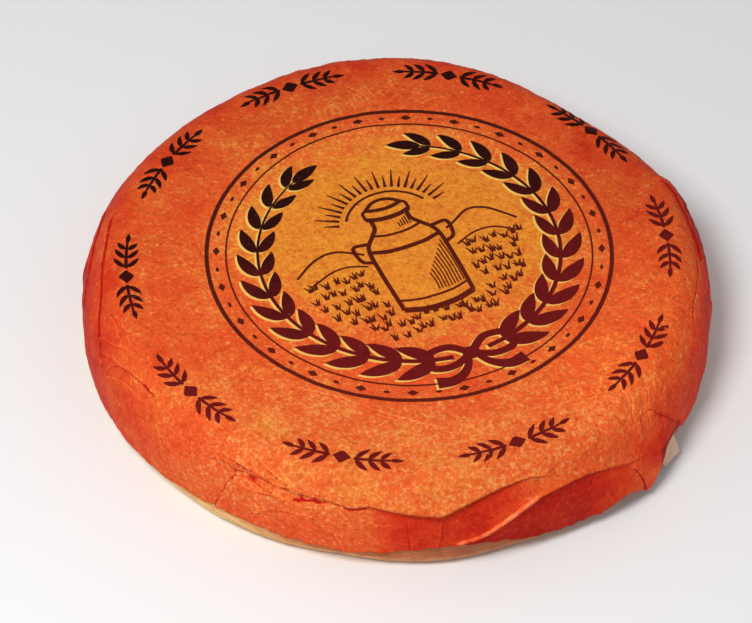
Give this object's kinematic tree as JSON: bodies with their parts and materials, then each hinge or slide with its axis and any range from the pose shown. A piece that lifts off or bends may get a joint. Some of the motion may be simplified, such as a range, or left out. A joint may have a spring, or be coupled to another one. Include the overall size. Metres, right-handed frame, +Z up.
{
  "type": "paper-wrapped washed-rind cheese wheel",
  "caption": "Low round cheese wheel with rounded edges, in a folded orange paper cap that leaves a strip of tan rind bare along the foot.",
  "frame": {"origin": "on the surface that the wheel rests on, at the centre of its flat underside", "axes": "+Z up along the wheel's axis; the front of the wheel, with the folded ledge, faces -Y"},
  "size_m": [0.2323, 0.2326, 0.0402],
  "materials": {
    "rind": "moist tan washed rind, finely wrinkled, half matt",
    "printed_paper": "thin crumpled paper, mottled orange-red print with a waxy half-matt face",
    "plain_paper": "thin unprinted cream paper, matt"
  },
  "bodies": {
    "root": {"cheese_wheel": "rind", "paper_cap": "printed_paper", "inner_paper_corner": "plain_paper"}
  },
  "joints": []
}
